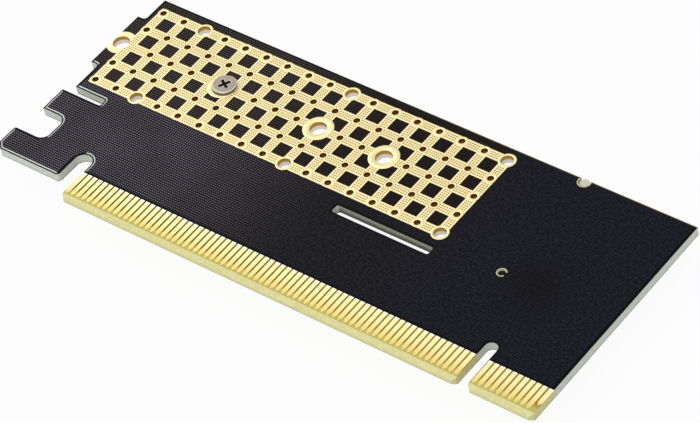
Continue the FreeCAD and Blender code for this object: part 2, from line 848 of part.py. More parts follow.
def standoff_screw():
    """A thin-headed cross-recess screw, turned as one profile."""
    body = new_body("standoff_screw")
    profile = new_sketch(body, "screw_profile", "XZ_Plane")
    top = core_half + size.head_height
    end = size.drive_thread_length - size.standoff_height - core_half + size.shank_gap
    draw_polygon(
        profile,
        [
            (0, end),
            (size.shank / 2, end),
            (size.shank / 2, core_half),
            (size.head / 2, core_half),
            (size.head / 2, top - size.head_rim),
            (size.head / 2 - size.head_rim, top),
            (0, top),
        ],
    )
    turn = body.newObject("PartDesign::Revolution", "screw_turned")
    turn.Profile = profile
    turn.ReferenceAxis = (profile, ["V_Axis"])
    turn.Angle = 360
    recess = new_sketch(body, "screw_recess", offset=top)
    arm, half = size.recess_span / 2, size.recess_width / 2
    draw_polygon(
        recess,
        [
            (arm, -half), (arm, half), (half, half), (half, arm), (-half, arm), (-half, half),
            (-arm, half), (-arm, -half), (-half, -half), (-half, -arm), (half, -arm), (half, -half),
        ],
    )
    cut = body.newObject("PartDesign::Pocket", "screw_recess_cut")
    cut.Profile = recess
    bind(cut, "Length", size.recess_depth)
    place_at_fixing(body)
    bind(body, ".Placement.Rotation.Angle", size.recess_turn)
    return body


# ---------------------------------------------------------------------------------------------------
# Chip parts
# ---------------------------------------------------------------------------------------------------


def chip_part(name):
    """A chip whose metal end caps stand a little proud of its body."""

    def own(what):
        return getattr(size, f"{name}_{what}")

    body = new_body(name)
    side = new_sketch(body, name + "_side", "XZ_Plane")
    end, neck = own("length") / 2, own("length") / 2 - own("cap")
    low, high, step = as_size(0), own("height"), size.chip_cap_step
    draw_polygon(
        side,
        [
            (-end, low), (-neck, low), (-neck, low + step), (neck, low + step), (neck, low), (end, low),
            (end, high), (neck, high), (neck, high - step), (-neck, high - step), (-neck, high),
            (-end, high),
        ],
    )
    pad(body, side, own("width"), both_ways=True)
    body.Placement.Rotation = FreeCAD.Rotation(FreeCAD.Vector(0, 0, 1), own("turn").value)
    bind(body, ".Placement.Base.x", own("ahead") - size.socket_reach)
    bind(body, ".Placement.Base.y", size.drive_rise + own("beside"))
    bind(body, ".Placement.Base.z", -stack_half - high)
    bind(body, ".Placement.Rotation.Angle", own("turn"))
    return body


# ---------------------------------------------------------------------------------------------------
# Build, check and write
# ---------------------------------------------------------------------------------------------------

nodes = board_layers()
nodes.append(edge_contacts("edge_contacts_back", 1, SHORT_ON_SOLDER_SIDE))
nodes.append(edge_contacts("edge_contacts_front", -1, SHORT_ON_COMPONENT_SIDE))
nodes.append(socket_housing())
nodes.append(
    socket_contacts("socket_contacts_upper", UPPER_PINS, socket_rear_x, 1, size.upper_pin_rise)
)
nodes.append(
    socket_contacts("socket_contacts_lower", LOWER_PINS, socket_mouth_x, -1, size.lower_pin_rise)
)
nodes.append(socket_hold_down("socket_hold_down_near", -1))
nodes.append(socket_hold_down("socket_hold_down_far", 1))
nodes.append(standoff())
nodes.append(standoff_screw())
for chip in CHIPS:
    nodes.append(chip_part(chip[0]))
doc.recompute()

for thing in doc.Objects:
    if "Invalid" in thing.State or "Error" in thing.State:
        raise ValueError(f"{thing.Name} failed: {thing.State}")
for node in nodes:
    if node.Shape.isNull() or not node.Shape.isValid():
        raise ValueError(f"{node.Label} has no valid shape")

os.makedirs("parts", exist_ok=True)
for node in nodes:
    node.Shape.exportStep(f"parts/{node.Label}.step")
    print(f"{node.Label}: {len(node.Shape.Solids)} solids, {node.Shape.Volume:.3f} mm3")
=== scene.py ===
"""Finishes of an adapter card that carries an M.2 drive in a PCI Express slot.

The card lies flat with its solder side up. +X runs to the bracket end, +Y away from the card
edge and +Z out of the solder side; the origin is the key notch, on the card edge, halfway through
the board.
Sizes in this file are millimetres, and MM turns them into the frame's metres.
"""

import math

import bmesh
import bpy
from mathutils import Matrix, Vector

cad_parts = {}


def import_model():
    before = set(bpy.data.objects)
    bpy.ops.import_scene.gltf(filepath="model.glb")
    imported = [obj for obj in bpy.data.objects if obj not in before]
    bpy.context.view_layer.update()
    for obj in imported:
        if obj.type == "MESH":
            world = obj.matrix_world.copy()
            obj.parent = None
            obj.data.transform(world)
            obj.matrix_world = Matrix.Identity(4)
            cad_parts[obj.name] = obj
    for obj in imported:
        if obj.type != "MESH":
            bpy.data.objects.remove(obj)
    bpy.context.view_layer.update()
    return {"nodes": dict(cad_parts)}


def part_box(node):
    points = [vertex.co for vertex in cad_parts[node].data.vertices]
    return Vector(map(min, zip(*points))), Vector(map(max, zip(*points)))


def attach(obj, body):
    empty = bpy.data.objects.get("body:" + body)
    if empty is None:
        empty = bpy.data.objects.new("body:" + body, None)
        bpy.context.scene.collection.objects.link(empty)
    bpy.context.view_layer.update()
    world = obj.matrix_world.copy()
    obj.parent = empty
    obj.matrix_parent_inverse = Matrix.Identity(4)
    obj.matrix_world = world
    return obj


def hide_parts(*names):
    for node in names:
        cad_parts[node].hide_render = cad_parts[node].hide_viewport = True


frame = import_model()
nodes = frame["nodes"]
MM = 0.001

# ------------------------------------------------------------------------------------------------
# Sizes
# ------------------------------------------------------------------------------------------------

# Levels above the middle of the board; the floor is just under the socket
COPPER_TOP = 0.70
MASK_TOP = 0.73
FLOOR = -4.96

# The drive's field of plated vias: its first via and pitch, its columns and rows, half the width of
# its gold bars, the columns whose outer vias are wider, and those whose middle row has no via
GRID_LEFT, GRID_BOTTOM, GRID_PITCH = -83.0, 21.1, 4.0
COLUMNS, ROWS = 17, 5
GRID_RIGHT = GRID_LEFT + GRID_PITCH * (COLUMNS - 1)
GRID_TOP = GRID_BOTTOM + GRID_PITCH * (ROWS - 1)
HALF_BAR = 0.83
SINK_COLUMNS = (2, 9, 16)
BARE_MIDDLE_COLUMNS = (0, 4, 5, 9, 12)

# The drive's centre line and its fixing holes; the third holds the screw
DRIVE_LINE = 29.1
FIXING_X = (-35.0, -47.0, -65.0, -84.65)
SCREW_X = FIXING_X[2]

# Edges of the card: the contacts' ends, the board's top, the hook's tip and where the hook begins
CONTACT_BOTTOM, CONTACT_TOP = 0.8, 5.32
TOP_EDGE = 39.4
HOOK_TIP, HOOK_ROOT = -87.0, -74.0

# The narrow window below the drive: from and to along the card, and its middle line
WINDOW = (-34.9, -18.2)
WINDOW_MIDDLE = 17.6

# Plated holes: the radii of their bores and lands, how many sides they have, how thick the plating
# is, how far a land stands up, and how wide its lip is
VIA_BORE, VIA_LAND, RIM_VIA_LAND = 0.525, 0.76, 0.93
SINK_BORE, SINK_LAND = 1.0, 1.35
FIXING_BORE, FIXING_LAND = 1.325, 2.35
VIA_SIDES, HOLE_SIDES = 24, 40
PLATING, LAND_RISE, LIP = 0.015, 0.045, 0.03

# The copper pour under the mask: how far its edge stands in, and the width and height of its step;
# the same at the openings in the mask, and how near an opening a step counts as the opening's own;
# the pitch of the pour's hatch; and how far one sheet stands clear of the one under it
POUR_INSET, POUR_STEP, POUR_RISE = 0.22, 0.17, 0.045
OPENING_INSET, OPENING_STEP, OPENING_REACH = 0.01, 0.07, 0.12
HATCH_PITCH = 0.4
LIFT = 0.01

# The step's painted highlight runs from here to the hook's end, up to one level, and to a higher
# one where it faces the card edge
GLINT_END, GLINT_TOP, GLINT_TOP_BELOW = -60.0, 19.3, 24.5

# Screw: its head, how far the head sits off the middle of its hole, its shank, and its recess, as
# the reach, half width and eased corner of the cross at its rim, its mouth and its floor
HEAD_SIDES, SHANK_SIDES = 64, 32
HEAD_RADIUS, HEAD_TOP, HEAD_BOTTOM = 1.9, 1.25, 0.8
HEAD_SLIP = (0.29, 0.22)
SHANK_RADIUS, TIP_RADIUS, SHANK_END, TAPER = 0.95, 0.6, -1.55, 0.3
RECESS_TURN, MOUTH_DEPTH, RECESS_DEPTH = 60.0, 0.03, 0.5
RECESS_RIM, RECESS_MOUTH, RECESS_FLOOR = (1.06, 0.3, 0.07), (1.0, 0.25, 0.06), (0.62, 0.17, 0.04)

# Where the socket's two pegs stand, how near the far one a wall belongs to its hole, the radii of
# their holes and of the bare rings round them, and the angles between which each ring shows
PEGS = ((-6.95, 19.225), (-6.95, 38.975))
FAR_PEG_REACH = 1.2
PEG_BORES, PEG_RINGS = (0.575, 0.9), (0.8, 1.08)
RING_ARCS, RING_STEP = ((24, 336), (150, 386)), 8

# Length of a chip's metal ends, by the length of the chip
CHIP_ENDS = {3.2: 0.5, 1.6: 0.35, 1.0: 0.2}

# Colour bands, as places along the card: the painted highlight on the hatch fades, the mask's
# painted reflection cools, the top rim turns olive
HATCH_HIGHLIGHT_FADE, MASK_REFLECTION_COOLS, RIM_TURNS = (-34.0, -66.0), (-40.0, 0.0), (-50.0, -25.0)

# The painted dark reflection on the mask beside the socket: its middle, its outer and inner
# radius, and its strength
DARK_REFLECTION_SPOT, DARK_REFLECTION_RADII, DARK_REFLECTION_SHARE = (-1.5, 19.5, 0.0), (8.5, 1.5), 0.6

# Glass cloth shows as flat layers
CLOTH_STRETCH = (0.5, 0.5, 2.2)

# How far a face's normal points up: at least this on a flat, and more than this on a bevel
FLAT, BEVELLED = 0.95, 0.05

# Floor: its reach, its shade, and how much of its own white it shows to the eye
FLOOR_REACH, FLOOR_SHADE, FLOOR_GLOW = 2000.0, 0.9, 0.94

# Light: the sky's strength, and each lamp's place from the card's middle, its size and its power
SKY = 0.5
LAMPS = (("key", (-700, 150, 800), 600, 2.2), ("fill", (250, -700, 850), 800, 3.6))

# Camera
AIM = (-33.281, 18.674, -0.07)
AZIMUTH, ELEVATION, ROLL, DISTANCE = 46.701, 44.932, -12.687, 539.61
LENS, SENSOR = 197.25, 36.0
CLIP = (10.0, 20000.0)


# ------------------------------------------------------------------------------------------------
# Mesh helpers
# ------------------------------------------------------------------------------------------------


def add_piece(name, bm, materials, smooth=True):
    """An object from a bmesh in millimetres, riding on the card."""
    bmesh.ops.scale(bm, vec=(MM, MM, MM), verts=bm.verts)
    mesh = bpy.data.meshes.new(name)
    bm.to_mesh(mesh)
    bm.free()
    for material in materials:
        mesh.materials.append(material)
    if smooth:
        for polygon in mesh.polygons:
            polygon.use_smooth = True
    piece = bpy.data.objects.new(name, mesh)
    bpy.context.scene.collection.objects.link(piece)
    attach(piece, "root")
    return piece


def ring(bm, centre, radius, z, count):
    """A closed ring of vertices."""
    step = math.tau / count
    return [
        bm.verts.new((
            centre[0] + radius * math.cos(i * step),
            centre[1] + radius * math.sin(i * step),
            z,
        ))
        for i in range(count)
    ]


def bridge(bm, low, high, material=0):
    """A strip of quads between two closed loops of the same length."""
    count = len(low)
    for i in range(count):
        j = (i + 1) % count
        face = bm.faces.new((low[i], low[j], high[j], high[i]))
        face.material_index = material


def turn(bm, centre, profile, count):
    """A surface turned about the upright line through centre; returns its rings."""
    rings = [ring(bm, centre, radius, z, count) for radius, z in profile]
    for low, high in zip(rings, rings[1:]):
        bridge(bm, low, high)
    return rings


def fill(bm, loops, up=True):
    """One flat face set between closed loops of vertices."""
    edges = []
    for loop in loops:
        for a, b in zip(loop, loop[1:] + loop[:1]):
            edges.append(bm.edges.get((a, b)) or bm.edges.new((a, b)))
    made = bmesh.ops.triangle_fill(bm, use_beauty=True, use_dissolve=False, edges=edges)
    faces = [g for g in made["geom"] if isinstance(g, bmesh.types.BMFace)]
    for face in faces:
        face.normal_update()
        if (face.normal.z > 0) != up:
            face.normal_flip()
    return faces


def flat_loops(node, side):
    """The closed outlines of a CAD sheet's outer face, in millimetres, the sheet on their left."""
    mesh = node.data
    level = max(side * v.co.z for v in mesh.vertices)
    uses = {}
    for polygon in mesh.polygons:
        if side * polygon.normal.z < 0.9 or side * polygon.center.z < level - 1e-6:
            continue
        corners = [
            (round(mesh.vertices[i].co.x / MM, 4), round(mesh.vertices[i].co.y / MM, 4))
            for i in polygon.vertices
        ]
        if side < 0:
            corners.reverse()
        for a, b in zip(corners, corners[1:] + corners[:1]):
            if (b, a) in uses:
                del uses[(b, a)]
            else:
                uses[(a, b)] = True
    following = {}
    for a, b in uses:
        following.setdefault(a, []).append(b)
    loops = []
    while following:
        first = next(iter(following))
        loop = [first]
        while True:
            onwards = following[loop[-1]]
            corner = onwards.pop()
            if not onwards:
                del following[loop[-1]]
            if corner == first:
                break
            loop.append(corner)
        loops.append(loop)
    return loops


def inset(loop, gap_of):
    """A loop moved into the sheet on its left, each edge by its own gap."""
    count = len(loop)
    moved = []
    for i in range(count):
        before, here, after = (Vector(loop[k % count]) for k in (i - 1, i, i + 1))
        d0, d1 = (here - before).normalized(), (after - here).normalized()
        n0, n1 = Vector((-d0.y, d0.x)), Vector((-d1.y, d1.x))
        g0, g1 = gap_of((before + here) / 2), gap_of((here + after) / 2)
        cross = d0.x * d1.y - d0.y * d1.x
        if abs(cross) < 0.02:
            moved.append(here + (n0 * g0 + n1 * g1) / 2)
            continue
        a, b = here + n0 * g0, here + n1 * g1
        along = ((b.x - a.x) * d1.y - (b.y - a.y) * d1.x) / cross
        moved.append(a + d0 * along)
    return moved


# ------------------------------------------------------------------------------------------------
# Material helpers
# ------------------------------------------------------------------------------------------------


class Paint:
    """A node material being built; every method returns an output socket."""

    def __init__(self, name, color, roughness, metallic=0.0, specular=0.5):
        self.material = bpy.data.materials.new(name)
        self.material.use_nodes = True
        self.tree = self.material.node_tree
        self.shader = self.tree.nodes["Principled BSDF"]
        self.shader.inputs["Base Color"].default_value = (*color, 1)
        self.shader.inputs["Roughness"].default_value = roughness
        self.shader.inputs["Metallic"].default_value = metallic
        self.shader.inputs["Specular IOR Level"].default_value = specular
        self.place = None

    def node(self, kind, operation=None):
        """A new node of this kind."""
        made = self.tree.nodes.new(kind)
        if operation:
            made.operation = operation
        return made

    def feed(self, socket, value):
        """Links or sets an input; one that is the same all over is set."""
        if isinstance(value, bpy.types.NodeSocket):
            self.tree.links.new(value, socket)
        else:
            socket.default_value = value

    def where(self):
        """The place on the card, in millimetres."""
        if self.place is None:
            coordinates = self.node("ShaderNodeTexCoord")
            scale = self.node("ShaderNodeVectorMath", "SCALE")
            self.feed(scale.inputs[0], coordinates.outputs["Object"])
            scale.inputs["Scale"].default_value = 1 / MM
            self.place = scale.outputs[0]
        return self.place

    def axis(self, name):
        """The place along X, Y or Z."""
        split = self.node("ShaderNodeSeparateXYZ")
        self.feed(split.inputs[0], self.where())
        return split.outputs[name]

    def distance(self, spot):
        """How far a place lies from spot, in millimetres."""
        made = self.node("ShaderNodeVectorMath", "DISTANCE")
        self.feed(made.inputs[0], self.where())
        made.inputs[1].default_value = spot
        return made.outputs["Value"]

    def math(self, operation, a, b=0.0):
        made = self.node("ShaderNodeMath", operation)
        self.feed(made.inputs[0], a)
        self.feed(made.inputs[1], b)
        return made.outputs[0]

    def ramp(self, value, low, high, to_low=0.0, to_high=1.0):
        """value between low and high, eased and clamped, as to_low to to_high."""
        made = self.node("ShaderNodeMapRange")
        made.interpolation_type = "SMOOTHSTEP"
        for socket, number in zip(made.inputs, (value, low, high, to_low, to_high)):
            self.feed(socket, number)
        return made.outputs[0]

    def noise(self, size, detail=2.0, stretch=(1, 1, 1)):
        """Cloudy noise whose blobs are about size millimetres."""
        squeeze = self.node("ShaderNodeVectorMath", "MULTIPLY")
        self.feed(squeeze.inputs[0], self.where())
        squeeze.inputs[1].default_value = stretch
        made = self.node("ShaderNodeTexNoise")
        self.feed(made.inputs["Vector"], squeeze.outputs[0])
        made.inputs["Scale"].default_value = 1 / size
        made.inputs["Detail"].default_value = detail
        return made.outputs["Fac"]

    def mix(self, factor, a, b):
        """Colour a at factor 0, b at factor 1."""
        made = self.node("ShaderNodeMix")
        made.data_type = "RGBA"
        self.feed(made.inputs[0], factor)
        for socket, value in ((made.inputs[6], a), (made.inputs[7], b)):
            self.feed(socket, value if isinstance(value, bpy.types.NodeSocket) else (*value, 1))
        return made.outputs[2]

    def waves(self):
        """2 in the middle of a hatch opening, -2 where the hatch's lines cross."""
        waves = []
        for name, start in (("X", GRID_LEFT), ("Y", GRID_BOTTOM)):
            along = self.math("SUBTRACT", self.axis(name), start)
            waves.append(self.math("COSINE", self.math("MULTIPLY", along, math.tau / HATCH_PITCH)))
        return self.math("ADD", *waves)

    def cloth(self, dark, pale):
        """Layers of glass cloth, as colour and relief; returns the colour."""
        layers = self.noise(0.35, 3.0, CLOTH_STRETCH)
        self.bump(layers, 0.012)
        return self.mix(self.ramp(layers, 0.3, 0.7), rgb(*dark), rgb(*pale))

    def color(self, value):
        self.feed(self.shader.inputs["Base Color"], value)

    def roughness(self, value):
        self.feed(self.shader.inputs["Roughness"], value)

    def bump(self, height, depth):
        """Relief of depth millimetres."""
        made = self.node("ShaderNodeBump")
        self.feed(made.inputs["Height"], height)
        made.inputs["Distance"].default_value = depth * MM
        self.feed(self.shader.inputs["Normal"], made.outputs[0])


def rgb(red, green, blue):
    """A display colour, 0 to 255, as the shader's linear numbers."""
    shares = (red / 255, green / 255, blue / 255)
    return tuple(c / 12.92 if c <= 0.04045 else ((c + 0.055) / 1.055) ** 2.4 for c in shares)


# ------------------------------------------------------------------------------------------------
# Materials
# ------------------------------------------------------------------------------------------------


def plain_mask():
    """Mask over bare laminate, which shows olive along the top rim."""
    paint = Paint("solder_mask_plain", rgb(9, 9, 11), 0.45, specular=0.05)
    speckle = paint.noise(0.25, 3.0)
    shade = paint.mix(paint.ramp(speckle, 0.35, 0.7), rgb(2, 2, 3), rgb(12, 12, 15))
    rim = paint.ramp(paint.axis("Y"), TOP_EDGE - 0.2, TOP_EDGE - 0.05)
    rim = paint.math("MULTIPLY", rim, paint.ramp(paint.axis("X"), *RIM_TURNS))
    paint.color(paint.mix(rim, shade, rgb(126, 114, 62)))
    paint.bump(speckle, 0.004)
    return paint.material


def hatched_mask():
    """Mask over hatched copper; painted highlights where the hatch's lines cross, most towards the
    hook.
    """
    paint = Paint("solder_mask_hatched", rgb(14, 14, 18), 0.4, specular=0.05)
    across = paint.axis("X")
    crossing = paint.ramp(paint.waves(), -0.65, -1.9)
    speckle = paint.noise(0.4, 3.0)
    framed = paint.ramp(paint.axis("Y"), GRID_BOTTOM - 1.5, GRID_BOTTOM)
    framed = paint.math("MULTIPLY", framed, paint.math("LESS_THAN", across, GRID_RIGHT))
    # Painted highlight where the hatch's lines cross, fading along the card and in broad patches
    strength = crossing
    for share in (
        paint.ramp(across, *HATCH_HIGHLIGHT_FADE, 0.04, 1.0),
        paint.ramp(framed, 0.0, 1.0, 1.0, 0.5),
        paint.ramp(paint.noise(7.0, 1.0), 0.3, 0.7, 0.75, 1.0),
    ):
        strength = paint.math("MULTIPLY", strength, share)
    grain = paint.ramp(speckle, 0.35, 0.68)
    warm = paint.mix(grain, rgb(4, 4, 6), rgb(32, 30, 35))
    # Painted reflection: the mask turns bluish along the card
    cool_reflection = paint.mix(grain, rgb(3, 4, 11), rgb(27, 29, 42))
    inside = paint.mix(grain, rgb(9, 4, 1), rgb(34, 24, 20))
    # Painted dark reflection on the mask beside the socket
    dark_reflection = paint.ramp(paint.distance(DARK_REFLECTION_SPOT), *DARK_REFLECTION_RADII, 0.0, DARK_REFLECTION_SHARE)
    dark = paint.mix(paint.ramp(across, *MASK_REFLECTION_COOLS), warm, cool_reflection)
    dark = paint.mix(framed, paint.mix(dark_reflection, dark, rgb(0, 0, 1)), inside)
    pale = paint.mix(framed, rgb(180, 170, 186), rgb(180, 163, 160))
    paint.color(paint.mix(strength, dark, pale))
    hatch_relief = paint.math("MULTIPLY", crossing, 0.6)
    paint.bump(paint.math("ADD", hatch_relief, paint.math("MULTIPLY", speckle, 0.4)), 0.01)
    return paint.material


def painted_glint_mask():
    """Painted highlight on the mask down the side of the copper pour, where it faces the light."""
    paint = Paint("solder_mask_painted_glint", rgb(224, 228, 224), 0.3)
    speckle = paint.noise(0.5, 2.0)
    paint.color(paint.mix(speckle, rgb(206, 211, 208), rgb(240, 243, 238)))
    return paint.material


def gold_field():
    """Hatched gold-plated copper behind the drive, and bare laminate between the edge contacts."""
    paint = Paint("gold_field", rgb(234, 220, 168), 0.42, metallic=0.8, specular=0.1)
    opening = paint.ramp(paint.waves(), -0.1, 1.1)
    away = [
        paint.math("PINGPONG", paint.math("SUBTRACT", paint.axis(name), start), GRID_PITCH / 2)
        for name, start in (("X", GRID_LEFT), ("Y", GRID_BOTTOM))
    ]
    within = paint.math("LESS_THAN", paint.math("MINIMUM", *away), HALF_BAR - 0.2)
    inside = paint.math("MULTIPLY", paint.math("MULTIPLY", opening, within), 0.95)
    gold_shade = paint.mix(paint.noise(3.0), rgb(234, 219, 166), rgb(241, 227, 180))
    gold_shade = paint.mix(inside, gold_shade, rgb(132, 106, 22))
    up = paint.axis("Y")
    # Painted shade between the contacts, darkest towards the hook; past their tips, plain tan
    along = paint.ramp(paint.axis("X"), -70.0, 0.0)
    between = paint.mix(along, rgb(104, 82, 14), rgb(168, 142, 56))
    laminate_and_gap_shade = paint.mix(paint.ramp(up, 1.2, 2.4), rgb(212, 200, 112), between)
    covered = paint.math("GREATER_THAN", up, CONTACT_TOP)
    paint.color(paint.mix(covered, laminate_and_gap_shade, gold_shade))
    paint.feed(paint.shader.inputs["Metallic"], paint.math("MULTIPLY", covered, 0.8))
    return paint.material


def metal(name, color, roughness, blob, darkest, smoother, rougher):
    """Metal mottled in blobs, each darker or paler and smoother or rougher."""
    paint = Paint(name, rgb(*color), roughness, metallic=0.9)
    shade = paint.noise(blob, 3.0)
    paint.color(paint.mix(shade, tuple(c * darkest for c in rgb(*color)), rgb(*color)))
    paint.roughness(paint.ramp(shade, 0.2, 0.8, roughness - smoother, roughness + rougher))
    return paint.material


def gold(name, color, roughness):
    """Plated gold."""
    return metal(name, color, roughness, 1.2, 0.9, 0.06, 0.08)


def steel(name, color, roughness):
    """Turned or stamped metal."""
    return metal(name, color, roughness, 0.5, 0.85, 0.05, 0.1)


def contact_gold():
    """Gold of the edge contacts, a little deeper towards the tips as painted shade."""
    paint = Paint("gold_contact", rgb(236, 218, 152), 0.4, metallic=0.8)
    shade = paint.noise(1.2, 3.0)
    up = paint.axis("Y")
    # Painted shade, deeper towards the tips
    tone = paint.ramp(up, CONTACT_BOTTOM, 4.2, 0.0, 0.85)
    tone = paint.math("ADD", tone, paint.math("MULTIPLY", shade, 0.2))
    body = paint.mix(tone, rgb(216, 194, 106), rgb(240, 226, 168))
    # Painted highlight along each contact's top end
    paint.color(paint.mix(paint.ramp(up, 4.8, 5.2), body, rgb(250, 244, 224)))
    paint.roughness(paint.ramp(shade, 0.2, 0.8, 0.34, 0.48))
    return paint.material


def deep_wall():
    """The plated wall of a wide hole: brown gold under its rim, pale lower down."""
    paint = Paint("gold_wall_wide", rgb(176, 132, 52), 0.4, metallic=0.6)
    level = paint.math("ADD", paint.axis("Z"), paint.math("MULTIPLY", paint.noise(0.4), 0.1))
    # Painted shade: brown gold under the rim; lower down, a painted reflection of the white floor
    under_rim = paint.ramp(level, -0.15, 0.25)
    paint.color(paint.mix(under_rim, rgb(230, 226, 218), rgb(180, 138, 44)))
    return paint.material


def bare_laminate():
    """Bare glass-fibre board."""
    paint = Paint("laminate_bare", rgb(226, 224, 176), 0.6, specular=0.3)
    paint.color(paint.cloth((204, 200, 150), (226, 224, 176)))
    return paint.material


def routed_edge():
    """The routed edge: cloth layers, yellower beside the contacts, a painted shadow along its foot.
    """
    paint = Paint("laminate_edge", rgb(230, 233, 222), 0.6, specular=0.3)
    cloth = paint.cloth((206, 212, 200), (233, 236, 226))
    beside = paint.ramp(paint.axis("Y"), 6.2, 4.6)
    beside = paint.math("MULTIPLY", beside, paint.ramp(paint.axis("X"), -73.0, -72.0))
    cloth = paint.mix(beside, cloth, rgb(222, 219, 162))
    # Painted shadow along the foot of the edge
    foot = paint.ramp(paint.axis("Z"), -0.5, -0.64, 0.0, 0.75)
    paint.color(paint.mix(foot, cloth, rgb(112, 116, 104)))
    return paint.material


def bevelled_edge():
    """The bevel that leads the card into its slot, and the blunt nose under it."""
    paint = Paint("laminate_bevel", rgb(238, 234, 168), 0.55, specular=0.3)
    cloudy = paint.ramp(paint.noise(0.6, 3.0), 0.3, 0.7)
    cloth = paint.mix(cloudy, rgb(230, 225, 154), rgb(240, 237, 174))
    # Painted shade: the nose darkens towards its foot
    nose = paint.ramp(paint.axis("Z"), -0.1, -0.34, 0.0, 0.7)
    paint.color(paint.mix(nose, cloth, rgb(168, 164, 104)))
    return paint.material


def shaded_window_edge():
    """The long wall of the narrow window, laminate in painted shade, darkest towards its foot."""
    paint = Paint("laminate_painted_shade", rgb(168, 170, 152), 0.5, specular=0.3)
    level = paint.math("ADD", paint.axis("Z"), paint.math("MULTIPLY", paint.noise(0.5, 3.0), 0.3))
    paint.color(paint.mix(paint.ramp(level, -0.25, 0.55), rgb(80, 83, 68), rgb(176, 178, 160)))
    return paint.material


def moulded(name, color, roughness):
    """Plastic or ceramic with a fine grain."""
    paint = Paint(name, rgb(*color), roughness, specular=0.2)
    shade = paint.noise(0.12, 3.0)
    paint.color(paint.mix(shade, tuple(c * 0.8 for c in rgb(*color)), rgb(*color)))
    paint.bump(shade, 0.01)
    return paint.material


MASK_PLAIN = plain_mask()
MASK_HATCHED = hatched_mask()
MASK_PAINTED_GLINT = painted_glint_mask()
GOLD_FIELD = gold_field()
GOLD_LAND = gold("gold_land", (238, 223, 168), 0.42)
# The vias' plated walls: gold darkened to brown as painted shade
GOLD_WALL = gold("gold_wall", (132, 82, 28), 0.45)
GOLD_WALL_WIDE = deep_wall()
GOLD_CONTACT = contact_gold()
LAMINATE_BARE = bare_laminate()
LAMINATE_EDGE = routed_edge()
LAMINATE_BEVEL = bevelled_edge()
LAMINATE_SHADED = shaded_window_edge()
SCREW_STEEL = steel("screw_steel", (160, 149, 136), 0.38)
# The screw's painted highlight, and its painted shade and shadow
SCREW_PAINTED_HIGHLIGHT = steel("screw_painted_highlight", (226, 218, 206), 0.3)
SCREW_PAINTED_SHADE = steel("screw_painted_shade", (44, 34, 28), 0.6)
BRASS = steel("standoff_brass", (205, 170, 95), 0.35)
TIN = steel("tin", (205, 205, 200), 0.3)
SOCKET_BLACK = moulded("socket_black", (14, 14, 16), 0.5)
# The pegs' tips: a darker copy of the black plastic as painted shade, a pale one as painted light
PEG_PAINTED_SHADE = moulded("peg_painted_shade", (4, 4, 5), 0.8)
PEG_PAINTED_LIGHT = moulded("peg_painted_light", (236, 232, 222), 0.4)
CERAMIC = moulded("ceramic_tan", (150, 118, 84), 0.45)
RESISTOR_BLACK = moulded("resistor_black", (24, 24, 26), 0.4)
LAMP_WHITE = moulded("lamp_white", (222, 222, 205), 0.3)


# ------------------------------------------------------------------------------------------------
# The board and its plating
# ------------------------------------------------------------------------------------------------


def cover(node, materials, choose=None):
    """New materials on a CAD node; choose gives the slot of each face."""
    mesh = nodes[node].data
    mesh.materials.clear()
    for material in materials:
        mesh.materials.append(material)
    for polygon in mesh.polygons:
        polygon.material_index = choose(polygon) if choose else 0


def grid_place(column, row):
    """The middle of a via."""
    return GRID_LEFT + GRID_PITCH * column, GRID_BOTTOM + GRID_PITCH * row


BOARD = [GOLD_FIELD, LAMINATE_BEVEL, GOLD_WALL_WIDE, LAMINATE_EDGE, LAMINATE_BARE, LAMINATE_SHADED]


def board_slot(polygon):
    """Chooses from BOARD: flats, bevel, plated holes, routed edge, far peg hole, window's wall."""
    up, spot = abs(polygon.normal.z), polygon.center / MM
    if up > FLAT:
        return BOARD.index(GOLD_FIELD)
    if up > BEVELLED or spot.y < LIFT:
        return BOARD.index(LAMINATE_BEVEL)
    if math.dist(spot[:2], PEGS[1]) < FAR_PEG_REACH:
        return BOARD.index(LAMINATE_BARE)
    # The window's long wall takes laminate in painted shade
    if WINDOW[0] < spot.x < WINDOW[1] and WINDOW_MIDDLE < spot.y < GRID_BOTTOM - 1:
        return BOARD.index(LAMINATE_SHADED)
    plated = [((x, DRIVE_LINE), FIXING_BORE) for x in FIXING_X]
    plated += [(grid_place(c, r), SINK_BORE) for c in range(COLUMNS) for r in range(ROWS)]
    near = any(math.dist(spot[:2], middle) < radius + LIP for middle, radius in plated)
    return BOARD.index(GOLD_WALL_WIDE if near else LAMINATE_EDGE)


def via_places():
    """The middle, bore and land of every plated hole in the grid."""
    places = []
    for column in range(COLUMNS):
        for row in range(ROWS):
            middle = grid_place(column, row)
            if column in SINK_COLUMNS and row in (0, ROWS - 1):
                places.append((middle, SINK_BORE, SINK_LAND))
            elif row != ROWS // 2 or column not in BARE_MIDDLE_COLUMNS:
                rim = row in (0, ROWS - 1) or column in (0, COLUMNS - 1)
                places.append((middle, VIA_BORE, RIM_VIA_LAND if rim else VIA_LAND))
    return places


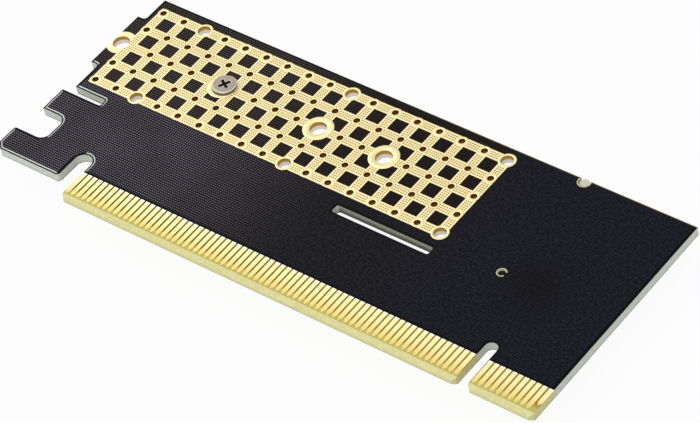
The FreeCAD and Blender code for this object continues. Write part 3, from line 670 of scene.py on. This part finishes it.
def plated_holes():
    """Each plated hole: a barrel with a rounded lip on each side, and the land round it.

    The last fixing hole's land is part of the flat copper.
    """
    bm = bmesh.new()
    places = via_places()
    places += [((x, DRIVE_LINE), FIXING_BORE, FIXING_LAND) for x in FIXING_X[:3]]
    for middle, bore, land in places:
        narrow = bore == VIA_BORE
        inner, top = bore - PLATING, COPPER_TOP + LAND_RISE
        upper = [
            (land + 0.02, COPPER_TOP - 0.01),
            (land, top - 0.012),
            (land - LIP, top),
            (inner + LIP, top),
            (inner + 0.008, top - 0.015),
            (inner, top - 0.05),
        ]
        lower = [(radius, -z) for radius, z in reversed(upper)]
        first = len(bm.faces)
        turn(bm, middle, upper + lower, VIA_SIDES if narrow else HOLE_SIDES)
        bm.faces.ensure_lookup_table()
        # Barrels: painted shade on the walls, and in wide holes a painted floor reflection lower
        # down
        for face in bm.faces[first:]:
            if abs(face.calc_center_median().z) < COPPER_TOP / 2:
                face.material_index = 1 if narrow else 2
    bmesh.ops.recalc_face_normals(bm, faces=bm.faces)
    piece = add_piece("plated_holes", bm, [GOLD_LAND, GOLD_WALL, GOLD_WALL_WIDE])


def bare_rings():
    """Laminate left bare round the socket's peg holes; the far ring breaks at the edge."""
    bm = bmesh.new()
    top = MASK_TOP + LIFT
    for (x, y), bore, outer, (start, end) in zip(PEGS, PEG_BORES, PEG_RINGS, RING_ARCS):
        profile = [
            (outer, top - 0.012),
            (outer - 0.02, top),
            (bore + 0.02, top),
            (bore + 0.005, top - 0.05),
        ]
        arc = []
        for angle in range(start, end, RING_STEP):
            c, s = math.cos(math.radians(angle)), math.sin(math.radians(angle))
            arc.append([bm.verts.new((x + r * c, y + r * s, z)) for r, z in profile])
        for here, after in zip(arc, arc[1:]):
            for k in range(len(profile) - 1):
                bm.faces.new((here[k], here[k + 1], after[k + 1], after[k]))
    bmesh.ops.recalc_face_normals(bm, faces=bm.faces)
    piece = add_piece("bare_rings", bm, [LAMINATE_BARE])


def touches_opening(spot):
    """Whether a place is on or just beside the mask's opening over the drive's field."""
    reach = HALF_BAR + OPENING_REACH
    lands = [((x, DRIVE_LINE), FIXING_LAND) for x in FIXING_X]
    lands += [(grid_place(c, r), SINK_LAND) for c in SINK_COLUMNS for r in (0, ROWS - 1)]
    return (
        GRID_LEFT - reach < spot.x < GRID_RIGHT + reach
        and GRID_BOTTOM - reach < spot.y < GRID_TOP + reach
    ) or any(math.dist(spot[:2], middle) < radius + OPENING_REACH for middle, radius in lands)


def step_foot(spot):
    """How far inside the mask's outline the step begins."""
    return OPENING_INSET if touches_opening(spot) else POUR_INSET


def step_brow(spot):
    """How far inside the mask's outline the step ends."""
    return step_foot(spot) + (OPENING_STEP if touches_opening(spot) else POUR_STEP)


def glints(face):
    """Whether a face of the step faces the light at the hook end, and so gets a painted highlight.
    """
    slope, spot = face.normal, face.calc_center_median()
    top = GLINT_TOP_BELOW if slope.y < -0.2 else GLINT_TOP
    lit = slope.x + slope.y < -0.15 and spot.x < GLINT_END and spot.y < top
    return lit and not touches_opening(spot)


def pour_relief(name, node, side):
    """The mask where it lies over the copper pour: a low plateau, with a soft step at its edge."""
    bm = bmesh.new()
    plateau = []
    for loop in flat_loops(nodes[node], side):
        foot, brow = inset(loop, step_foot), inset(loop, step_brow)
        low = [bm.verts.new((x, y, side * (MASK_TOP - 0.002))) for x, y in foot]
        high = [bm.verts.new((x, y, side * (MASK_TOP + POUR_RISE))) for x, y in brow]
        bridge(bm, low, high, 1)
        plateau.append(high)
    fill(bm, plateau, side > 0)
    bmesh.ops.recalc_face_normals(bm, faces=bm.faces)
    # Painted highlight on the step's faces that face the light
    for face in bm.faces:
        if face.material_index and glints(face):
            face.material_index = 2
    piece = add_piece(name, bm, [MASK_HATCHED, MASK_PLAIN, MASK_PAINTED_GLINT], smooth=False)


def hook_mask():
    """The component side's mask over the lower part of the hook, as on the solder side."""
    sheets = flat_loops(nodes["solder_mask_back"], 1)
    (outline,) = [loop for loop in sheets if min(loop)[0] < HOOK_TIP]
    lowest = [spot for spot in outline if spot[0] < HOOK_ROOT and spot[1] < CONTACT_TOP]
    first = outline.index(lowest[0])
    turned = outline[first:] + outline[:first]
    while turned[-1] in lowest:
        turned.insert(0, turned.pop())
    under = []
    for spot in turned:
        if spot not in lowest:
            break
        under.append(spot)
    bm = bmesh.new()
    seam = CONTACT_TOP + LIFT
    edge = [(under[0][0], seam), *under, (under[-1][0], seam)]
    flat = [bm.verts.new((x, y, LIFT - MASK_TOP)) for x, y in edge]
    fill(bm, [flat], up=False)
    piece = add_piece("hook_mask", bm, [MASK_HATCHED], smooth=False)


cover("circuit_board", BOARD, board_slot)
for side in ("back", "front"):
    cover("solder_mask_" + side, [MASK_PLAIN])
    cover("edge_contacts_" + side, [GOLD_CONTACT])
plated_holes()
bare_rings()
pour_relief("pour_back", "solder_mask_back", 1)
pour_relief("pour_front", "solder_mask_front", -1)
hook_mask()


# ------------------------------------------------------------------------------------------------
# Screw and standoff
# ------------------------------------------------------------------------------------------------


def cross(arm, half, corner):
    """The outline of a cross: four arms with eased corners."""
    quarter = [
        (arm - corner, -half),
        (arm, -half + corner),
        (arm, half - corner),
        (arm - corner, half),
        (half + corner, half),
        (half, half + corner),
    ]
    points = []
    for turns in range(4):
        angle = math.radians(90 * turns)
        c, s = math.cos(angle), math.sin(angle)
        points += [(x * c - y * s, x * s + y * c) for x, y in quarter]
    return points


def screw():
    """A thin-headed screw with a tapered cross recess, its head a little off its hole's middle."""
    bm = bmesh.new()
    head = [
        (SHANK_RADIUS, 0.0),
        (SHANK_RADIUS, HEAD_BOTTOM),
        (HEAD_RADIUS - 0.16, HEAD_BOTTOM),
        (HEAD_RADIUS - 0.03, HEAD_BOTTOM + 0.05),
        (HEAD_RADIUS, HEAD_BOTTOM + 0.12),
        (HEAD_RADIUS, HEAD_TOP - 0.2),
        (HEAD_RADIUS - 0.05, HEAD_TOP - 0.1),
        (HEAD_RADIUS - 0.18, HEAD_TOP - 0.03),
        (HEAD_RADIUS - 0.34, HEAD_TOP),
    ]
    rings = turn(bm, (0, 0), head, HEAD_SIDES)
    # Painted shadow on the band under the head, painted highlight on a band round the crown
    for face in bm.faces:
        level = face.calc_center_median().z
        if level < HEAD_BOTTOM + 0.1:
            face.material_index = 1
        elif HEAD_TOP - 0.09 < level < HEAD_TOP - 0.02:
            face.material_index = 2
    rim, mouth, floor = (
        [bm.verts.new((x, y, HEAD_TOP - depth)) for x, y in cross(*shape)]
        for shape, depth in (
            (RECESS_RIM, 0.0),
            (RECESS_MOUTH, MOUTH_DEPTH),
            (RECESS_FLOOR, RECESS_DEPTH),
        )
    )
    # Painted highlight round the recess's mouth, painted shade down its walls and on its floor
    bridge(bm, rim, mouth, 2)
    bridge(bm, mouth, floor, 1)
    fill(bm, [rings[-1], rim])
    for face in fill(bm, [floor]):
        face.material_index = 1
    turned = Matrix.Rotation(math.radians(RECESS_TURN), 3, "Z")
    bmesh.ops.rotate(bm, verts=bm.verts, matrix=turned)
    middle = (SCREW_X + HEAD_SLIP[0], DRIVE_LINE + HEAD_SLIP[1], 0)
    bmesh.ops.translate(bm, verts=bm.verts, vec=middle)
    shank = [(TIP_RADIUS, SHANK_END), (SHANK_RADIUS, SHANK_END + TAPER), (SHANK_RADIUS, 0.3)]
    turn(bm, (SCREW_X, DRIVE_LINE), shank, SHANK_SIDES)
    end = [v for v in bm.verts if abs(v.co.z - SHANK_END) < 1e-6]
    bm.faces.new(end)
    bmesh.ops.recalc_face_normals(bm, faces=bm.faces)
    piece = add_piece("screw", bm, [SCREW_STEEL, SCREW_PAINTED_SHADE, SCREW_PAINTED_HIGHLIGHT], smooth=False)
    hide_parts("standoff_screw")


screw()
cover("standoff", [BRASS])


# ------------------------------------------------------------------------------------------------
# Component side
# ------------------------------------------------------------------------------------------------


def cap_slot(node):
    """Chooses the metal for a chip's end caps, which lie at the ends of its longer side."""
    low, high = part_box(node)
    size = high - low
    along = 0 if size.x > size.y else 1
    end = CHIP_ENDS[round(size[along] / MM, 1)] * MM * 0.99

    def choose(polygon):
        return 0 if low[along] + end <= polygon.center[along] <= high[along] - end else 1

    return choose


def socket_slot(polygon):
    """The housing and the tips of its two pegs: the near one in painted shade, the far one painted
    pale, as the lit white floor below.
    """
    spot = polygon.center / MM
    if spot.z < 0.4:
        return 0
    return 2 if spot.y > DRIVE_LINE else 1


cover("socket_housing", [SOCKET_BLACK, PEG_PAINTED_SHADE, PEG_PAINTED_LIGHT], socket_slot)
for name in nodes:
    if name.startswith("socket_contacts"):
        cover(name, [GOLD_CONTACT])
    elif name.startswith("socket_hold_down"):
        cover(name, [TIN])
    elif "capacitor" in name:
        cover(name, [CERAMIC, TIN], cap_slot(name))
    elif "resistor" in name or "pull_up" in name:
        cover(name, [RESISTOR_BLACK, TIN], cap_slot(name))
    elif name.endswith("lamp"):
        cover(name, [LAMP_WHITE, TIN], cap_slot(name))


# ------------------------------------------------------------------------------------------------
# Floor, light and camera
# ------------------------------------------------------------------------------------------------


def seen_directly(tree):
    """1 for rays from the eye, a reflection or glass; 0 for the light that falls on the card."""
    path = tree.nodes.new("ShaderNodeLightPath")
    total = path.outputs["Is Camera Ray"]
    for name in ("Is Glossy Ray", "Is Transmission Ray"):
        add = tree.nodes.new("ShaderNodeMath")
        add.operation = "MAXIMUM"
        tree.links.new(total, add.inputs[0])
        tree.links.new(path.outputs[name], add.inputs[1])
        total = add.outputs[0]
    return total


def floor():
    """White paper under the card, which keeps a little of the card's shadow."""
    mesh = bpy.data.meshes.new("floor")
    reach, z = FLOOR_REACH * MM, FLOOR * MM
    corners = [(-reach, -reach, z), (reach, -reach, z), (reach, reach, z), (-reach, reach, z)]
    mesh.from_pydata(corners, [], [(0, 1, 2, 3)])
    sheet = bpy.data.objects.new("floor", mesh)
    bpy.context.scene.collection.objects.link(sheet)
    material = bpy.data.materials.new("floor_paper")
    material.use_nodes = True
    tree = material.node_tree
    tree.nodes.clear()
    paper = tree.nodes.new("ShaderNodeBsdfDiffuse")
    paper.inputs["Color"].default_value = (FLOOR_SHADE, FLOOR_SHADE, FLOOR_SHADE, 1)
    glow = tree.nodes.new("ShaderNodeEmission")
    mix = tree.nodes.new("ShaderNodeMixShader")
    share = tree.nodes.new("ShaderNodeMath")
    share.operation = "MULTIPLY"
    share.inputs[1].default_value = FLOOR_GLOW
    tree.links.new(seen_directly(tree), share.inputs[0])
    tree.links.new(share.outputs[0], mix.inputs[0])
    tree.links.new(paper.outputs[0], mix.inputs[1])
    tree.links.new(glow.outputs[0], mix.inputs[2])
    output = tree.nodes.new("ShaderNodeOutputMaterial")
    tree.links.new(mix.outputs[0], output.inputs["Surface"])
    mesh.materials.append(material)


def world():
    """An even white sky, at full strength where it is seen."""
    bpy.context.scene.world = bpy.data.worlds.new("studio")
    bpy.context.scene.world.use_nodes = True
    tree = bpy.context.scene.world.node_tree
    background = tree.nodes["Background"]
    background.inputs["Color"].default_value = (1, 1, 1, 1)
    strength = tree.nodes.new("ShaderNodeMapRange")
    strength.inputs["To Min"].default_value = SKY
    tree.links.new(seen_directly(tree), strength.inputs["Value"])
    tree.links.new(strength.outputs[0], background.inputs["Strength"])


def lamp(name, place, size, power):
    """A soft square lamp that faces the card's middle; place is in millimetres from there."""
    data = bpy.data.lights.new(name, "AREA")
    data.size = size * MM
    data.energy = power
    made = bpy.data.objects.new(name, data)
    middle = Vector(AIM) * MM
    made.location = middle + Vector(place) * MM
    made.rotation_euler = (middle - made.location).to_track_quat("-Z", "Y").to_euler()
    bpy.context.scene.collection.objects.link(made)


def camera():
    """A long lens that looks at AIM."""
    data = bpy.data.cameras.new("camera")
    data.lens = LENS
    data.sensor_width = SENSOR
    data.clip_start, data.clip_end = CLIP[0] * MM, CLIP[1] * MM
    a, e = math.radians(AZIMUTH), math.radians(ELEVATION)
    back = Vector((math.sin(a) * math.cos(e), -math.cos(a) * math.cos(e), math.sin(e)))
    made = bpy.data.objects.new("camera", data)
    upright = back.to_track_quat("Z", "Y").to_matrix().to_4x4()
    spot = Matrix.Translation((Vector(AIM) + back * DISTANCE) * MM)
    made.matrix_world = spot @ upright @ Matrix.Rotation(math.radians(ROLL), 4, "Z")
    bpy.context.scene.collection.objects.link(made)
    bpy.context.scene.camera = made


floor()
world()
for setting in LAMPS:
    lamp(*setting)
camera()
bpy.context.scene.view_settings.view_transform = "Standard"
